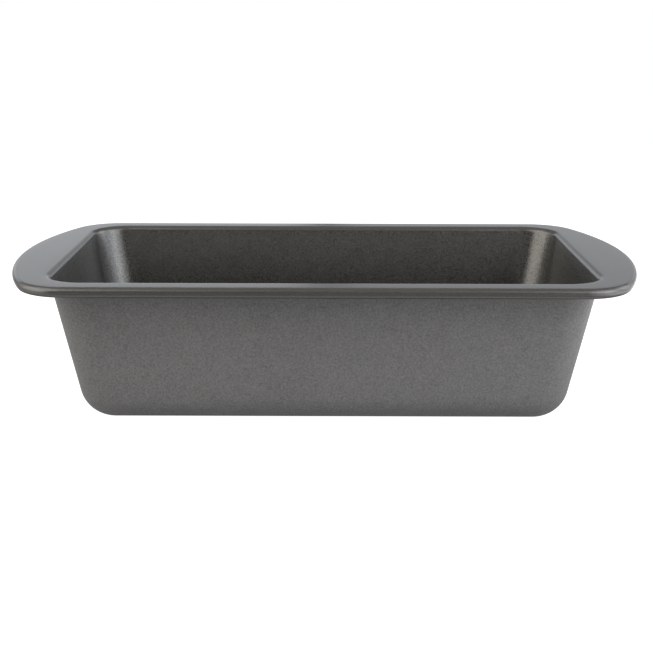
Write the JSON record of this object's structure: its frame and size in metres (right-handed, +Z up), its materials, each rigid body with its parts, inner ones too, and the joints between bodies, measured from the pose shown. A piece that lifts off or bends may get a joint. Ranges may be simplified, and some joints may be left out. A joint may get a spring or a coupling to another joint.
{
  "type": "loaf pan",
  "caption": "Drawn sheet-steel loaf pan with sloping walls, round corners, a wired rolled rim and a flat bowed handle at each end.",
  "frame": {"origin": "middle of the footprint, at the underside of the floor", "axes": "+X along the length from handle to handle, +Y from front to back, +Z up"},
  "size_m": [0.2746, 0.1518, 0.064],
  "materials": {
    "coated_steel": "satin non-stick coat with a fine grain",
    "wire_steel": "bare drawn wire"
  },
  "bodies": {
    "root": {"pan_body": "coated_steel", "rim_wire": "wire_steel"}
  },
  "joints": []
}
